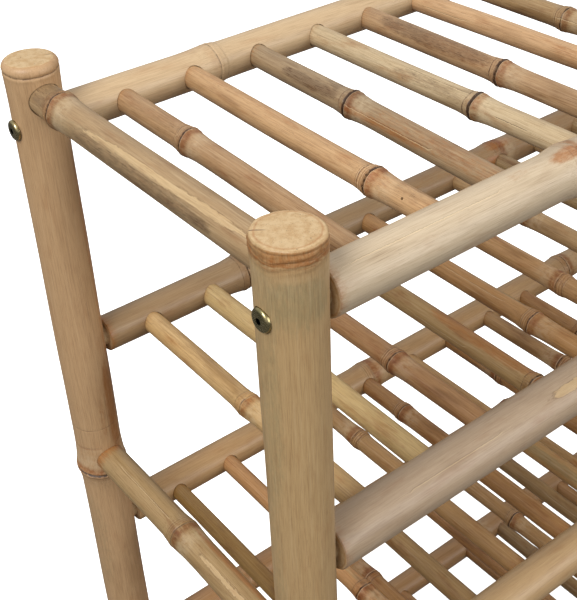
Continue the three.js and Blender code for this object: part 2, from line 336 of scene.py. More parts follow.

# %% [markdown]
# ## The skin of the stems
# Dried bamboo has a thin, smooth, satin skin over straight fibres. Up close it shows fine streaks
# along the stem, soft blotches of orange and grey, and short dark flecks. Round a ring the skin turns
# orange, with a pale powdery band behind it. The dark brown line in each ring's groove is partly the
# ring's own scar and partly painted shade, and one lip of the ring and one edge of each crack carry a
# painted highlight. One recipe draws all of this from the notes, and the posts, rails, end bars and
# slats each get their own measure of streaks, gloss and flecks. Layered noise is used rather than a
# wood image, because it never repeats.

# %% Draw the bamboo skin
def bamboo_skin(name, streak=0.5, gloss=0.45, flecks=0.4, blotch=0.5):
    r = Recipe(name)
    grain, paint = r.read("grain").outputs["Vector"], r.read("paint").outputs["Color"]
    rope, double, dark = r.put("SeparateXYZ", {0: r.read("ring_kind").outputs["Vector"]}).outputs
    halo, rough, crack_dark = r.put("SeparateXYZ", {0: r.read("ring_aura").outputs["Vector"]}).outputs
    stain, pale, green = r.put("SeparateXYZ", {0: r.read("tones").outputs["Vector"]}).outputs
    soot = r.read("tones").outputs["Alpha"]
    away, crack = r.read("ring_away").outputs["Fac"], r.read("crack_away").outputs["Fac"]
    both = r.both
    wide = r.noise(grain, (0.85, 0.85, 0.014), 4, 0.62)
    fine = r.noise(grain, (3.4, 3.4, 0.06), 3, 0.6, (7, 3, 1))
    cloud = r.noise(grain, (0.10, 0.10, 0.026), 4, 0.6, (1, 9, 4))
    drift = r.noise(grain, (0.06, 0.06, 0.012), 3, 0.55, (5, 2, 8))
    wobble = r.noise(grain, (0.5, 0.5, 0.5), 2, 0.5)
    away = r.calc("ADD", away, r.calc("MULTIPLY_ADD", wobble, 0.8, -0.4))

    # patches first, so that the streaks run over them
    ragged = r.calc("MULTIPLY_ADD", r.noise(grain, (0.5, 0.5, 0.16), 5, 0.72, (2, 2, 2)), 1.3, -0.65)
    def patch(strength, low, high):
        return r.step(r.calc("ADD", strength, both(ragged, r.step(strength, 0.0, 0.25))), low, high)
    r.colour = paint
    r.lay(both(patch(stain, 0.15, 1.0), 0.78), "a5682f")
    r.lay(both(patch(green, 0.10, 1.0), 0.55), "8c8461")
    r.lay(both(patch(pale, 0.40, 0.55), 0.75), "cdb084")
    pale_edge = both(patch(pale, 0.28, 0.40), r.calc("SUBTRACT", 1.0, patch(pale, 0.42, 0.54)))
    r.lay(both(pale_edge, 0.45), "6f5433")

    # streaks, blotches and a grey veil
    r.lay(both(r.step(wide, 0.48, 0.74), 0.30 * streak), "8d6b45", "MULTIPLY")
    r.lay(both(r.step(fine, 0.45, 0.70), 0.60 * streak), "a58763", "MULTIPLY")
    thread = r.noise(grain, (2.2, 2.2, 0.03), 5, 0.75, (11, 5, 6))
    r.lay(both(r.step(thread, 0.55, 0.66), 0.55 * streak), "7a5a3a", "MULTIPLY")
    r.lay(both(r.step(wide, 0.47, 0.27), 0.16 * streak), "f0dcb9", "SCREEN")
    r.lay(both(r.step(cloud, 0.52, 0.76), 0.60 * blotch), "c7945c", "MULTIPLY")
    r.lay(both(r.step(drift, 0.48, 0.28), 0.75 * blotch), "b9aa97", "MULTIPLY")

    # round a ring: an orange halo on one side, a powdery band behind it, dark sheath and rope lines,
    # and a groove line that is partly scar and partly painted shade, with a painted highlight on one lip
    warm = both(r.step(away, 0.2, 1.2), r.step(away, 10.0, 4.5), halo)
    warm = r.calc("ADD", warm, both(r.step(away, -8.0, -4.0), r.step(away, 0.2, -0.2), halo, 0.35))
    ring_cloud = r.noise(grain, (0.25, 0.25, 0.2), 3, 0.6, (3, 8, 5))
    warm_cloud = r.calc("MULTIPLY_ADD", r.step(ring_cloud, 0.3, 0.62), 0.55, 0.2)
    r.lay(both(warm, warm_cloud), "c08a55", "MULTIPLY")
    bloom = both(r.step(away, 6.0, 11.0), r.step(away, 30.0, 14.0), halo, r.step(ring_cloud, 0.7, 0.4))
    r.lay(both(bloom, 0.22), "dcc9a8")
    patchy = r.noise(grain, (0.30, 0.30, 0.30), 3, 0.6, (1, 3, 7))
    worn = r.calc("MULTIPLY_ADD", r.step(patchy, 0.38, 0.56), 0.65, 0.4)
    ragged_away = r.calc("ADD", away, r.calc("MULTIPLY_ADD", fine, 0.8, -0.4))
    ragged_away = r.calc("DIVIDE", ragged_away, r.calc("MAXIMUM", dark, 0.7))    # a dark ring is a wide one
    # the groove's dark line: partly the ring's own scar, partly painted shade in the groove
    groove = r.calc("MULTIPLY", r.line(ragged_away, 0.30, 0.65), both(dark, worn), clamp=True)
    r.lay(both(groove, 0.92), "361e10")
    # painted highlight: a light line along one lip of the ring, where it catches the light
    painted_lip_highlight = both(r.line(r.calc("SUBTRACT", away, 1.25), 0.2, 0.45), r.step(dark, 0.5, 1.0))
    r.lay(both(painted_lip_highlight, 0.28), "ecd4ae", "SCREEN")
    sheath = both(r.line(r.calc("ADD", away, 6.6), 0.12, 0.5), double, worn)
    r.lay(both(sheath, 0.7), "573a24")
    turns = r.calc("SINE", r.calc("MULTIPLY", away, 2.0 * math.pi / 2.2))
    in_rope = both(r.step(away, -9.5, -8.5), r.step(away, -0.5, -1.5), rope)
    rope_lines = both(r.step(turns, 0.60, 0.99), in_rope)
    r.lay(both(rope_lines, 0.6), "6f4628")
    r.lay(both(r.step(turns, -0.5, -0.95), in_rope, 0.2), "e8cfa4", "SCREEN")
    band = both(rough, r.step(r.calc("ABSOLUTE", away), 6.5, 2.5))
    scab = r.step(r.noise(grain, (0.22, 0.22, 1.1), 4, 0.7, (9, 4, 2)), 0.47, 0.60)
    r.lay(both(band, scab, 0.75), "9a6232")

    # flecks and cracks, with a painted highlight along one edge of each crack
    r.lay(both(patch(soot, 0.3, 1.0), 0.5), "5c4530")
    dash = r.noise(grain, (1.7, 1.7, 0.13), 4, 0.66, (4, 6, 9))
    dashed = r.step(r.calc("MULTIPLY_ADD", soot, 0.12, dash), 0.65, 0.73)
    fleck = both(dashed, flecks)
    r.lay(fleck, "543822")
    hair = r.calc("ADD", crack, r.calc("MULTIPLY_ADD", wobble, 1.2, -0.6))
    split = r.line(hair, 0.05, 0.26)
    # painted highlight: a light line half a millimetre to one side of the crack, where its edge catches the
    # light
    painted_crack_highlight = r.line(r.calc("SUBTRACT", hair, 0.5), 0.1, 0.35)
    r.lay(both(painted_crack_highlight, 0.35), "ecd3a6")
    r.lay(both(split, crack_dark), "4c2f20")
    r.fill(r.skin.inputs["Base Color"], r.colour)

    # sheen and relief
    uneven = r.noise(grain, (0.3, 0.3, 0.06), 3, 0.6, (8, 8, 1))
    shine = r.calc("ADD", r.calc("MULTIPLY_ADD", uneven, 0.24, gloss - 0.12), both(warm, 0.1))
    r.fill(r.skin.inputs["Roughness"], shine)
    relief = r.calc("MULTIPLY_ADD", fine, 0.35, both(wide, 0.65))
    dents = ((groove, 1.5), (rope_lines, 0.8), (both(split, crack_dark), 1.6), (fleck, 0.5), (sheath, 0.7))
    for dent, depth in dents:
        relief = r.calc("SUBTRACT", relief, both(dent, depth))
    relief = r.calc("ADD", relief, both(band, scab, 0.8))
    r.bump(relief, 0.3)
    r.skin.inputs["IOR"].default_value = 1.45
    return r.material

SKINS = {
    "post": bamboo_skin("post skin", streak=0.58, gloss=0.44, flecks=0.45, blotch=0.35),
    "rail": bamboo_skin("rail skin", streak=0.5, gloss=0.36, flecks=0.4, blotch=0.4),
    "end_bar": bamboo_skin("end bar skin", streak=0.75, gloss=0.40, flecks=0.7, blotch=0.7),
    "slat": bamboo_skin("slat skin", streak=0.85, gloss=0.38, flecks=0.8, blotch=0.9),
}
print("skins:", ", ".join(SKINS))

# %% [markdown]
# ## Cut ends
# Where a stem is sawn, its fibres show end on: a cream face peppered with dark dots, closer together
# towards the skin, with an orange-brown rim. The dots are a cell pattern as fine as real fibres. A
# crack that reaches the end goes on as a short slit from the rim inwards.

# %% Draw the sawn faces
def sawn_face(name):
    r = Recipe(name)
    grain, rim = r.read("grain").outputs["Vector"], r.read("rim").outputs["Fac"]
    cells = r.put("Mapping", {"Vector": grain, "Scale": (1.25, 1.25, 0.35)}).outputs[0]
    dots = r.put("TexVoronoi", {"Vector": cells, "Scale": 1.0}).outputs["Distance"]
    cloud = r.noise(grain, (0.25, 0.25, 0.1), 4, 0.65)
    r.colour = ink("c9ad84")
    r.lay(r.step(cloud, 0.35, 0.7), "b8966a")
    crowd = r.noise(grain, (0.4, 0.4, 0.2), 3)
    dark = r.both(r.step(dots, 0.30, 0.14), r.step(crowd, 0.40, 0.60))
    r.lay(r.both(dark, 0.65), "6b4a2a")
    near_rim = r.step(rim, 0.50, 0.68)
    slit = r.both(r.line(r.read("crack_away").outputs["Fac"], 0.2, 0.6), near_rim)
    r.lay(r.both(slit, 0.8), "4c2f20")
    spot = r.step(r.noise(grain, (0.6, 0.6, 0.2), 2, 0.5, (6, 1, 3)), 0.71, 0.75)
    r.lay(r.both(spot, 0.7), "4a3a2a")
    edge = r.calc("ADD", rim, r.calc("MULTIPLY_ADD", r.noise(grain, (0.12, 0.12, 0.1), 3), 0.12, -0.06))
    band = r.both(r.step(edge, 0.84, 0.88), r.step(edge, 0.93, 0.90))
    r.lay(r.both(band, 0.4), "a36a3a")
    r.fill(r.skin.inputs["Base Color"], r.colour)
    r.fill(r.skin.inputs["Roughness"], r.calc("MULTIPLY_ADD", cloud, 0.2, 0.62))
    relief = r.calc("SUBTRACT", cloud, r.both(dark, 0.6))
    r.bump(relief, 0.5)
    return r.material

SAWN = sawn_face("sawn bamboo")
print("material:", SAWN.name)

# %% [markdown]
# ## From outline to finished stem
# The steps are always the same: spin, grow, lay in place, drill, note. The holes are real ones, cut
# with a Boolean modifier whose result replaces the mesh, so a slat sits in a dark-edged hole as it
# does in the rail, and nothing pokes through anything else.

# %% Drill round holes
HOLE_GAP = 0.00035        # metres between a stem and the wall of its hole

def as_mesh(bm, name):
    mesh = bpy.data.meshes.new(name)
    bm.to_mesh(mesh)
    bm.free()
    return mesh

def bring_in(name, data):
    thing = bpy.data.objects.new(name, data)
    bpy.context.scene.collection.objects.link(thing)
    return thing

def drill(piece, holes, sides=36):
    bm = bmesh.new()
    for start, end, radius in holes:
        depth = (end - start).length
        place = laid(start, end) @ Matrix.Translation((0, 0, depth / 2))
        bmesh.ops.create_cone(bm, cap_ends=True, segments=sides, radius1=radius, radius2=radius,
                              depth=depth, matrix=place)
    bmesh.ops.recalc_face_normals(bm, faces=bm.faces)
    for face in bm.faces:
        face.material_index = 1
    bits = as_mesh(bm, "drill bits")
    tool = bring_in("drill bits", bits)
    cut = piece.modifiers.new("holes", "BOOLEAN")
    cut.operation, cut.solver, cut.object = "DIFFERENCE", "MANIFOLD", tool
    before = piece.data
    piece.data = bpy.data.meshes.new_from_object(piece.evaluated_get(bpy.context.evaluated_depsgraph_get()))
    piece.modifiers.clear()
    bpy.data.objects.remove(tool)
    bpy.data.meshes.remove(before)
    bpy.data.meshes.remove(bits)

# %% [markdown]
# A stem's description is one dictionary. Anything left out takes a quiet default, so each stem's own
# lines below only say what is special about it.

# %% Make a stem
triangles_made = 0

def culm(paint, radius, rings, **rest):
    return {"paint": tint(paint), "radius": radius, "rings": rings, **rest}

def make_stem(name, kind, stem, place, outline, sides, nodes, holes=()):
    global triangles_made
    stem = {"oval": 0.15, "bow": 0.0, "bumps": [], "patches": [], "cracks": [], "crack_dark": 0.5, **stem}
    bm = spin_outline(outline, sides)
    for face in bm.faces:
        outside = max(math.hypot(v.co.x, v.co.y) for v in face.verts) * 1000
        flat = abs(face.normal.z) > 0.8
        face.material_index = 1 if flat or outside < 0.8 * stem["radius"] else 0
        face.smooth = True
    grow(bm, stem)
    bmesh.ops.transform(bm, matrix=place, verts=bm.verts)
    mesh = as_mesh(bm, name)
    mesh.materials.append(SKINS[kind])
    mesh.materials.append(SAWN)
    piece = bring_in(name, mesh)
    for group in holes:
        drill(piece, group)
    mesh = piece.data
    mesh.name = name
    note_stem(mesh, place, stem)
    mesh.shade_smooth()
    mesh.set_sharp_from_angle(angle=math.radians(38))
    triangles_made += sum(len(face.vertices) - 2 for face in mesh.polygons)
    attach(piece, "root")
    if nodes:
        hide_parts(*nodes)
    return piece

chance = random.Random(20)
print("drill gap", HOLE_GAP * 1000, "mm")

# %% [markdown]
# ## Posts
# Each post is one thick stem, cut just above a ring so that the wall inside the ring closes the top.
# The front left one was cut through the ring itself and keeps a rough orange band under its rim, and
# the back left one has a softly rounded top with a dark line under it. Both were sawn a little long,
# as "spare" says in millimetres. At the foot the stem is open, so the outline runs up inside as well:
# turning an outline with two sides gives the hollow at once.

# %% Outline of a post
BORE_RADIUS, TOP_WALL = 12, 20          # millimetres

def post_outline(radius, rings, height, edge):
    ceiling = height - TOP_WALL
    outline = [(0, ceiling), (BORE_RADIUS, ceiling), (BORE_RADIUS, 0), (radius - 1.2, 0)]
    outline += [(radius, row) for row in rows_between(1.2, height - edge, rings)]
    for step in range(1, 7):
        turn = step * math.pi / 12
        outline.append((radius - edge * (1 - math.cos(turn)), height - edge * (1 - math.sin(turn))))
    return outline + [(part * radius, height + 0.25 * (1 - part)) for part in (0.7, 0.45, 0.2, 0)]

FACING_LEFT, FACING_RIGHT = math.radians(180), math.radians(-62)
POSTS = {
    ("back", "left"): culm("c4a077", 19.5,
        [Ring(150, 1.0), Ring(508, 1.3, double=0.1, dark=1.8),
            Ring(558, 0.0, double=0.0, dark=0.3, halo=0.0),
            Ring(876, 0.3, -1, double=0.0, dark=0.6, lean=0.02, halo=0.0)],
        edge=4.5, spare=3.0, seed=1.3, oval=0.25, bow=0.6,
        patches=[mark("stain", FACING_RIGHT, 573, 7.5, 56, 0.8),
            mark("stain", math.radians(-95), 566, 3, 25, 0.5),
            mark("green", FACING_LEFT, 420, 20, 70, 0.35),
            mark("stain", math.radians(-35), 700, 9, 140, 0.55)],
        cracks=[(math.radians(-100), 838, 852, 0), (math.radians(-20), 868, 890, 0)]),
    ("front", "left"): culm("bd9d70", 20.0,
        [Ring(500, 1.2), Ring(150, 1.0),
            Ring(875.0, 0.5, -1, double=0.0, rough=1.0, dark=0.35, lean=0.05, halo=0.3),
            Ring(879.2, 0.0, double=0.0, dark=0.3, halo=0.0)],
        edge=1.8, spare=1.6, seed=2.1, oval=0.35, bow=0.4, crack_dark=0.95,
        patches=[mark("stain", 0, 876, 900, 5, 0.75),
            mark("green", math.radians(165), 450, 16, 330, 0.4),
            mark("green", math.radians(178), 790, 14, 110, 0.5),
            mark("green", math.radians(-120), 846, 26, 18, 0.7),
            mark("stain", math.radians(-72), 660, 6, 100, 0.22)],
        cracks=[(math.radians(-52), 560, 800, 0.1), (math.radians(140), 872, 890, 0)]),
    ("front", "right"): culm("c3a173", 20.0,
        [Ring(120, 1.1), Ring(452, 1.4), Ring(871, 0.4, -1, double=0.0, dark=0.9)],
        edge=3.0, seed=3.7, oval=0.3, bow=0.7,
        patches=[mark("green", -1.2, 250, 17, 120, 0.6), mark("stain", 0.3, 500, 9, 60, 0.8)],
        cracks=[(math.radians(-20), 500, 760, 0.1)]),
    ("back", "right"): culm("c7a67c", 19.7,
        [Ring(205, 1.2), Ring(528, 1.3, -1), Ring(868, 0.6, -1, double=0.3, rough=0.6, dark=0.6)],
        edge=3.4, seed=5.2, oval=0.25, bow=0.5,
        patches=[mark("stain", 2.0, 360, 10, 80, 0.7), mark("pale", 0.6, 640, 5, 70, 0.6)],
        cracks=[(math.radians(60), 300, 470, 0.1)]),
}
print("posts described:", len(POSTS))

# %% [markdown]
# A post is drilled from its axis outwards: wide sockets for the rails' tenons on the inner side,
# shallow ones for the end bars on the face that looks at the other post, and a narrow hole with a
# flat seat for each bolt on the outer side. Holes that would overlap are cut one group at a time.

# %% Make the posts
TENON_RADIUS, BAR_RADIUS, DRILL_REACH = 0.009, 0.012, 0.03       # metres
BOLTS = {(level, face, side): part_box(f"bolt_{level}_{face}_{side}")
         for level in ("top", "bottom") for face in FACES for side in SIDES}
HEAD_THICK, HEAD_RADIUS, SHANK_RADIUS = 0.0032, 0.0075, 0.003
bar_at = {number: middle(f"end_bar_left_{number}").z for number in (1, 2, 3)}
bar_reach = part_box("end_bar_left_1")[1].y

def bolt_ends(level, face, side):
    """The tip and the outer face of a bolt's head, along X."""
    low, high = BOLTS[level, face, side]
    return (high.x, low.x) if side == "left" else (low.x, high.x)

def post_holes(face, side):
    axis, out = post_at[face, side], SIDES[side]
    point = lambda x, y, z: Vector((x, y, z))
    inward = [(point(axis.x, axis.y, z), point(axis.x - out * DRILL_REACH, axis.y, z),
               TENON_RADIUS + HOLE_GAP) for z in tier_at.values()]
    facing = -FACES[face]
    floor_y = FACES[face] * (bar_reach + HOLE_GAP)
    bars = [(point(axis.x, floor_y, z), point(axis.x, floor_y + facing * DRILL_REACH, z),
             BAR_RADIUS + HOLE_GAP) for z in bar_at.values()]
    shanks, seats = [], []
    for level in ("top", "bottom"):
        z, head = middle(f"bolt_{level}_{face}_{side}").z, bolt_ends(level, face, side)[1]
        inner = point(axis.x + out * 0.0005, axis.y, z)      # in the hollow of the post
        outer = point(axis.x + out * DRILL_REACH, axis.y, z)
        shanks.append((inner, outer, SHANK_RADIUS + HOLE_GAP))
        seat = head - out * (HEAD_THICK + HOLE_GAP)
        seats.append((point(seat, axis.y, z), point(seat + out * 0.02, axis.y, z), HEAD_RADIUS + HOLE_GAP))
    return [inward, bars, shanks, seats]

for (face, side), stem in POSTS.items():
    stem["length"] = post_height * 1000 + stem.get("spare", 0)
    outline = post_outline(stem["radius"], stem["rings"], stem["length"] - 0.25, stem["edge"])
    make_stem(f"culm_post_{face}_{side}", "post", stem, standing(post_at[face, side]), outline, 64,
              [f"post_{face}_{side}"], post_holes(face, side))
print("four posts,", triangles_made, "triangles so far")

# %% [markdown]
# ## Where the slats cross
# Twelve slats run from the back rail to the front one on every tier. The first and last stand the
# same distance from their posts and the rest share the space. On the top tier the holes were drilled
# by eye, so each end strays a few millimetres. The rails need these places for their holes, so they
# come first.

# %% Lines of the slats
SLATS, FIRST_SLAT = 12, 0.0605
STRAY_BACK = (3, 3, 5, 5, 1, -1, -1, 1, 3, -1, 2, 0)         # millimetres, top tier
STRAY_FRONT = (-3, 0, -3, 8, 1, 7, 2, -2, 2, 3, -1, 1)
STRAY_LOW = {(3, 0): 2.5, (3, 1): 1.0}                       # whole slats further down
first_low, first_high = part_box("slat_4_01")
slat_back_y, slat_front_y = first_high.y, first_low.y
left_x, right_x = post_at["back", "left"].x, post_at["back", "right"].x

def slat_line(tier, index):
    share = (right_x - left_x - 2 * FIRST_SLAT) / (SLATS - 1)
    x, z = left_x + FIRST_SLAT + index * share, tier_at[tier]
    back = front = STRAY_LOW.get((tier, index), 0)
    if tier == 5:
        back, front = STRAY_BACK[index], STRAY_FRONT[index]
    return Vector((x + back / 1000, slat_back_y, z)), Vector((x + front / 1000, slat_front_y, z))

here, there = slat_line(5, 3)
stray = ((here + there) / 2 - middle("slat_5_04")).length * 1000
print("slat 4 of the top tier is", round(stray, 2), "mm off its stand-in")

# %% [markdown]
# ## Slats
# The slats are the thinnest stems, one to two rings each, and no two look alike: some are golden and
# smooth, some grey green, some orange brown with rings like turns of rope. The ones in plain view,
# seven on the top tier and seven on the two below it, are described one by one. The others are drawn
# from these kinds by a seeded throw of the dice, so that every tier is as mixed as the top one and
# comes out the same every time.
# They are described before the rails are made, because each hole is drilled to fit its own slat. The
# drawn slats of the three lowest tiers get a darker, more orange paint: painted shade and painted
# warm bounce light from the tiers above.

# %% Describe the slats
FIRST_SLATS = {
    (5, 0): culm("ae8b64", 8.75, [Ring(94, 1.1, rope=0.9, dark=1.15)],
        patches=[mark("soot", 0.8, 60, 8, 40, 0.4), mark("soot", 1.2, 190, 6, 70, 0.25)]),
    (5, 1): culm("c6a074", 9.1, [Ring(217, 1.2, rope=1.0, dark=1.4)],
        patches=[mark("stain", 0.3, 228, 8, 12, 0.5), mark("soot", 0.2, 250, 9, 14, 0.5),
            mark("stain", 0.1, 60, 4, 70, 0.4)], nails=[(0.95, 249)]),
    (5, 2): culm("a38a69", 8.95, [Ring(126, 1.3, double=0.6, dark=1.9)],
        patches=[mark("stain", 1.3, 165, 4.5, 48, 0.7), mark("stain", 0.5, 220, 12, 75, 0.42),
            mark("soot", 0.9, 82, 6, 36, 1.0), mark("soot", 0.0, 108, 9, 10, 0.8)],
        cracks=[(1.1, 130, 215, -0.1)]),
    (5, 3): culm("c7b08b", 9.0, [Ring(185, 1.2, double=0.8, dark=2.0)], crack_dark=0.8,
        patches=[mark("green", 0.3, 70, 12, 90, 0.2), mark("soot", 0.9, 140, 7, 40, 0.6)],
        cracks=[(0.35, 110, 178, 0.0), (1.2, 205, 240, 0.0)]),
    (5, 4): culm("b4926c", 8.8, [Ring(160, 1.2, rope=0.4, dark=1.9)],
        patches=[mark("stain", 0.7, 115, 9, 45, 0.45), mark("soot", 0.6, 90, 9, 70, 0.9)]),
    (5, 5): culm("cda67b", 8.9, [Ring(205, 1.0)]),
    (5, 6): culm("a98b62", 8.8, [Ring(122, 1.0, rope=0.6)]),
    (4, 0): culm("c8a571", 8.9, [Ring(144, 1.0, double=0.8, dark=0.7)]),
    (4, 1): culm("c8ab76", 9.2, [Ring(112, 0.8)]),
    (4, 2): culm("ad8358", 8.9, [Ring(177, 1.1, rope=1.0)]),
    (4, 3): culm("a98a5c", 8.9, [Ring(266, 0.9)]),
    (4, 4): culm("b68a58", 8.9, [Ring(212, 1.1, rope=1.0)]),
    (3, 0): culm("a07c46", 7.6, [Ring(235, 0.9)]),
    (3, 1): culm("b48758", 8.2, [Ring(205, 0.9)]),
}
SKIN_TONES = [tint(text) for text in ("b8966a", "b0885a", "a48357", "c09e6f",
                                      "ad8458", "9a805a", "b78e5f", "a48961")]

def describe_slat(tier, index):
    start, end = slat_line(tier, index)
    stem = {"seed": 0.37 + 1.618 * (index + 12.7 * tier), "bow": chance.uniform(0.3, 1.1),
            "oval": chance.uniform(0.08, 0.22), "paint": chance.choice(SKIN_TONES),
            "radius": chance.uniform(8.6, 9.05), "patches": [], "cracks": []}
    at, grows = chance.uniform(60, 220), chance.choice((1, 1, -1))
    rope = chance.choice((0, 0.5, 1.0))
    stem["rings"] = [Ring(at, chance.uniform(0.8, 1.3), grows, rope=rope, dark=chance.uniform(0.7, 1.2))]
    if chance.random() < 0.5:
        stem["patches"].append(mark(chance.choice(("stain", "green")), chance.uniform(-1, 2),
                                    chance.uniform(50, 230), chance.uniform(3, 9),
                                    chance.uniform(20, 70), chance.uniform(0.3, 0.8)))
    if chance.random() < 0.3:
        low = chance.uniform(20, 160)
        stem["cracks"].append((chance.uniform(0, 1.5), low, low + chance.uniform(40, 90), 0.05))
    # painted shade and painted warm bounce light: drawn slats on the three lowest tiers get a darker, more
    # orange paint; the ones in FIRST_SLATS keep their own
    if tier < 4:
        stem["paint"] = tuple(part * value for part, value in zip((0.88, 0.80, 0.68), stem["paint"]))
    stem.update(FIRST_SLATS.get((tier, index), {}))
    stem["length"] = (end - start).length * 1000
    # painted shade: both ends of every slat are darkened with the orange-brown stain colour where they go
    # into the rails
    slat_end_shade = [mark("stain", 0.5, end_at, 60, 15, 0.42) for end_at in (0, stem["length"])]
    stem["patches"] = stem["patches"] + slat_end_shade
    return stem

slat_stems = {(tier, index): describe_slat(tier, index) for tier in TIERS for index in range(SLATS)}
thinnest = min(stem["radius"] for stem in slat_stems.values())
print("slats described:", len(slat_stems), "radius from", round(thinnest, 2), "mm")

# %% [markdown]
# ## Rails
# A rail is cut square and butts against the round post, so a wedge of its sawn end shows beside the
# post, with a dark gap under it. A thinner tenon turned on each end goes into the post. Front rails
# are a little thicker than back ones. Their colours run from cream to a glossy purple brown.

# %% Describe the rails
TENON = 12                # millimetres
rail_low, rail_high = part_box("rail_back_5")
rail_length = (rail_high.x - rail_low.x) * 1000 - 2 * TENON
rail_y = {"front": middle("rail_front_5").y, "back": middle("rail_back_5").y}

RAILS = {
    ("back", 5): culm("cdb18b", 14.9,
        [Ring(125, 0.9, -1, double=0.5, dark=0.6, halo=0.25), Ring(430, 0.9), Ring(690, 0.8)], seed=2.6,
        bow=0.8),
    ("front", 5): culm("cdb99c", 16.7, [Ring(198, 1.2, double=0.8, dark=0.5, rough=0.3), Ring(520, 1.2)],
        seed=4.4, bow=0.5, crack_dark=0.28, bumps=[(190, 0.35, 9, 1.3)],
        patches=[mark("stain", 0.30, 190, 6.5, 12, 0.85), mark("stain", 0.15, 150, 5, 15, 0.35),
            mark("stain", 1.35, 60, 9, 55, 0.1), mark("stain", 0.6, 0, 40, 7, 0.6)],
        cracks=[(0.42, 12, 128, 0.35)]),
    ("back", 4): culm("a28561", 14.9,
        [Ring(137, 1.1), Ring(452, 0.9, dark=0.5), Ring(700, 0.6, double=0)], seed=6.1, bow=1.0,
        bumps=[(452, 0.2, 5, 1.6), (445, 0.9, 4, 1.2), (466, 0.6, 5, 1.2)],
        patches=[mark("stain", 0.2, 455, 9, 16, 0.9), mark("stain", 1.2, 441, 5, 8, 1.0),
            mark("stain", 0, 520, 900, 240, 0.3), mark("stain", 0.5, 2, 40, 7, 0.7)]),
    ("front", 4): culm("b49d83", 18.2, [Ring(330, 1.3), Ring(640, 1.2)], seed=7.7, bow=0.6,
        patches=[mark("pale", 0.5, 235, 4, 40, 0.8), mark("stain", 0.6, 0, 50, 9, 0.5)],
        cracks=[(0.55, 60, 150, 0.2)]),
    ("back", 3): culm("b89468", 15.0, [Ring(283, 0.8, rope=0.6, dark=0.6), Ring(585, 1.0)], seed=8.9,
        bow=0.9, patches=[mark("stain", 0.4, 290, 20, 7, 0.6)]),
    ("front", 3): culm("bb9b71", 16.6, [Ring(335, 1.1), Ring(610, 1.1)], seed=9.4, bow=0.7),
    ("back", 2): culm("a98056", 15.0, [Ring(210, 1.0, -1), Ring(520, 1.0, -1)], seed=10.8, bow=0.9),
    ("front", 2): culm("c9a578", 16.6, [Ring(120, 1.2), Ring(450, 1.1)], seed=11.5, bow=0.8,
        cracks=[(0.9, 500, 640, 0.1)]),
    ("back", 1): culm("a98258", 15.0, [Ring(170, 1.0), Ring(470, 1.0)], seed=12.3, bow=1.0),
    ("front", 1): culm("ccaa80", 16.5, [Ring(300, 1.1, -1), Ring(610, 1.1, -1)], seed=13.6, bow=0.6,
        patches=[mark("green", 1.4, 430, 14, 90, 0.7)]),
}
print("rails described:", len(RAILS), "each", round(rail_length, 1), "mm between its shoulders")

# %% Make the rails
def rail_outline(radius, rings, length):
    tenon = TENON_RADIUS * 1000
    rows = rows_between(0.7, length - 0.7, rings)
    inner = [(0, -TENON), (tenon - 0.8, -TENON), (tenon, -TENON + 0.8), (tenon, 0), (0.75 * radius, 0),
             (radius - 0.7, 0)]
    outer = [(radius - 0.7, length), (0.75 * radius, length), (tenon, length),
             (tenon, length + TENON - 0.8), (tenon - 0.8, length + TENON), (0, length + TENON)]
    return inner + [(radius, row) for row in rows] + outer

def rail_holes(face, tier):
    groups = [[(*slat_line(tier, index), slat_stems[tier, index]["radius"] / 1000 + HOLE_GAP)
               for index in range(SLATS)]]
    level = {5: "top", 1: "bottom"}.get(tier)
    if level:
        y, z = rail_y[face], tier_at[tier]
        tips = {side: bolt_ends(level, face, side)[0] for side in SIDES}
        groups.append([(Vector((tips[side] - SIDES[side] * HOLE_GAP, y, z)),
                        Vector((SIDES[side] * 0.5, y, z)), SHANK_RADIUS + HOLE_GAP) for side in SIDES])
    return groups

for (face, tier), stem in RAILS.items():
    stem["length"] = rail_length
    y, z, half = rail_y[face], tier_at[tier], rail_length / 2000
    place = laid(Vector((-half, y, z)), Vector((half, y, z)))
    joined = face == "back" and tier <= 3
    node = f"rail_back_with_slats_{tier}" if joined else f"rail_{face}_{tier}"
    outline = rail_outline(stem["radius"], stem["rings"], rail_length)
    make_stem(f"culm_rail_{face}_{tier}", "rail", stem, place, outline, 48, [node],
              rail_holes(face, tier))
print("ten rails,", triangles_made, "triangles so far")

# %% [markdown]
# ## End bars
# Three bars at each end tie a front post to a back one. They go into the posts at their full width.
# The top left bar lost part of its skin to the knife: a long cream band with a ragged edge runs down
# its upper side. Such a band is a pale patch in the notes, and the finish gives it the ragged edge.

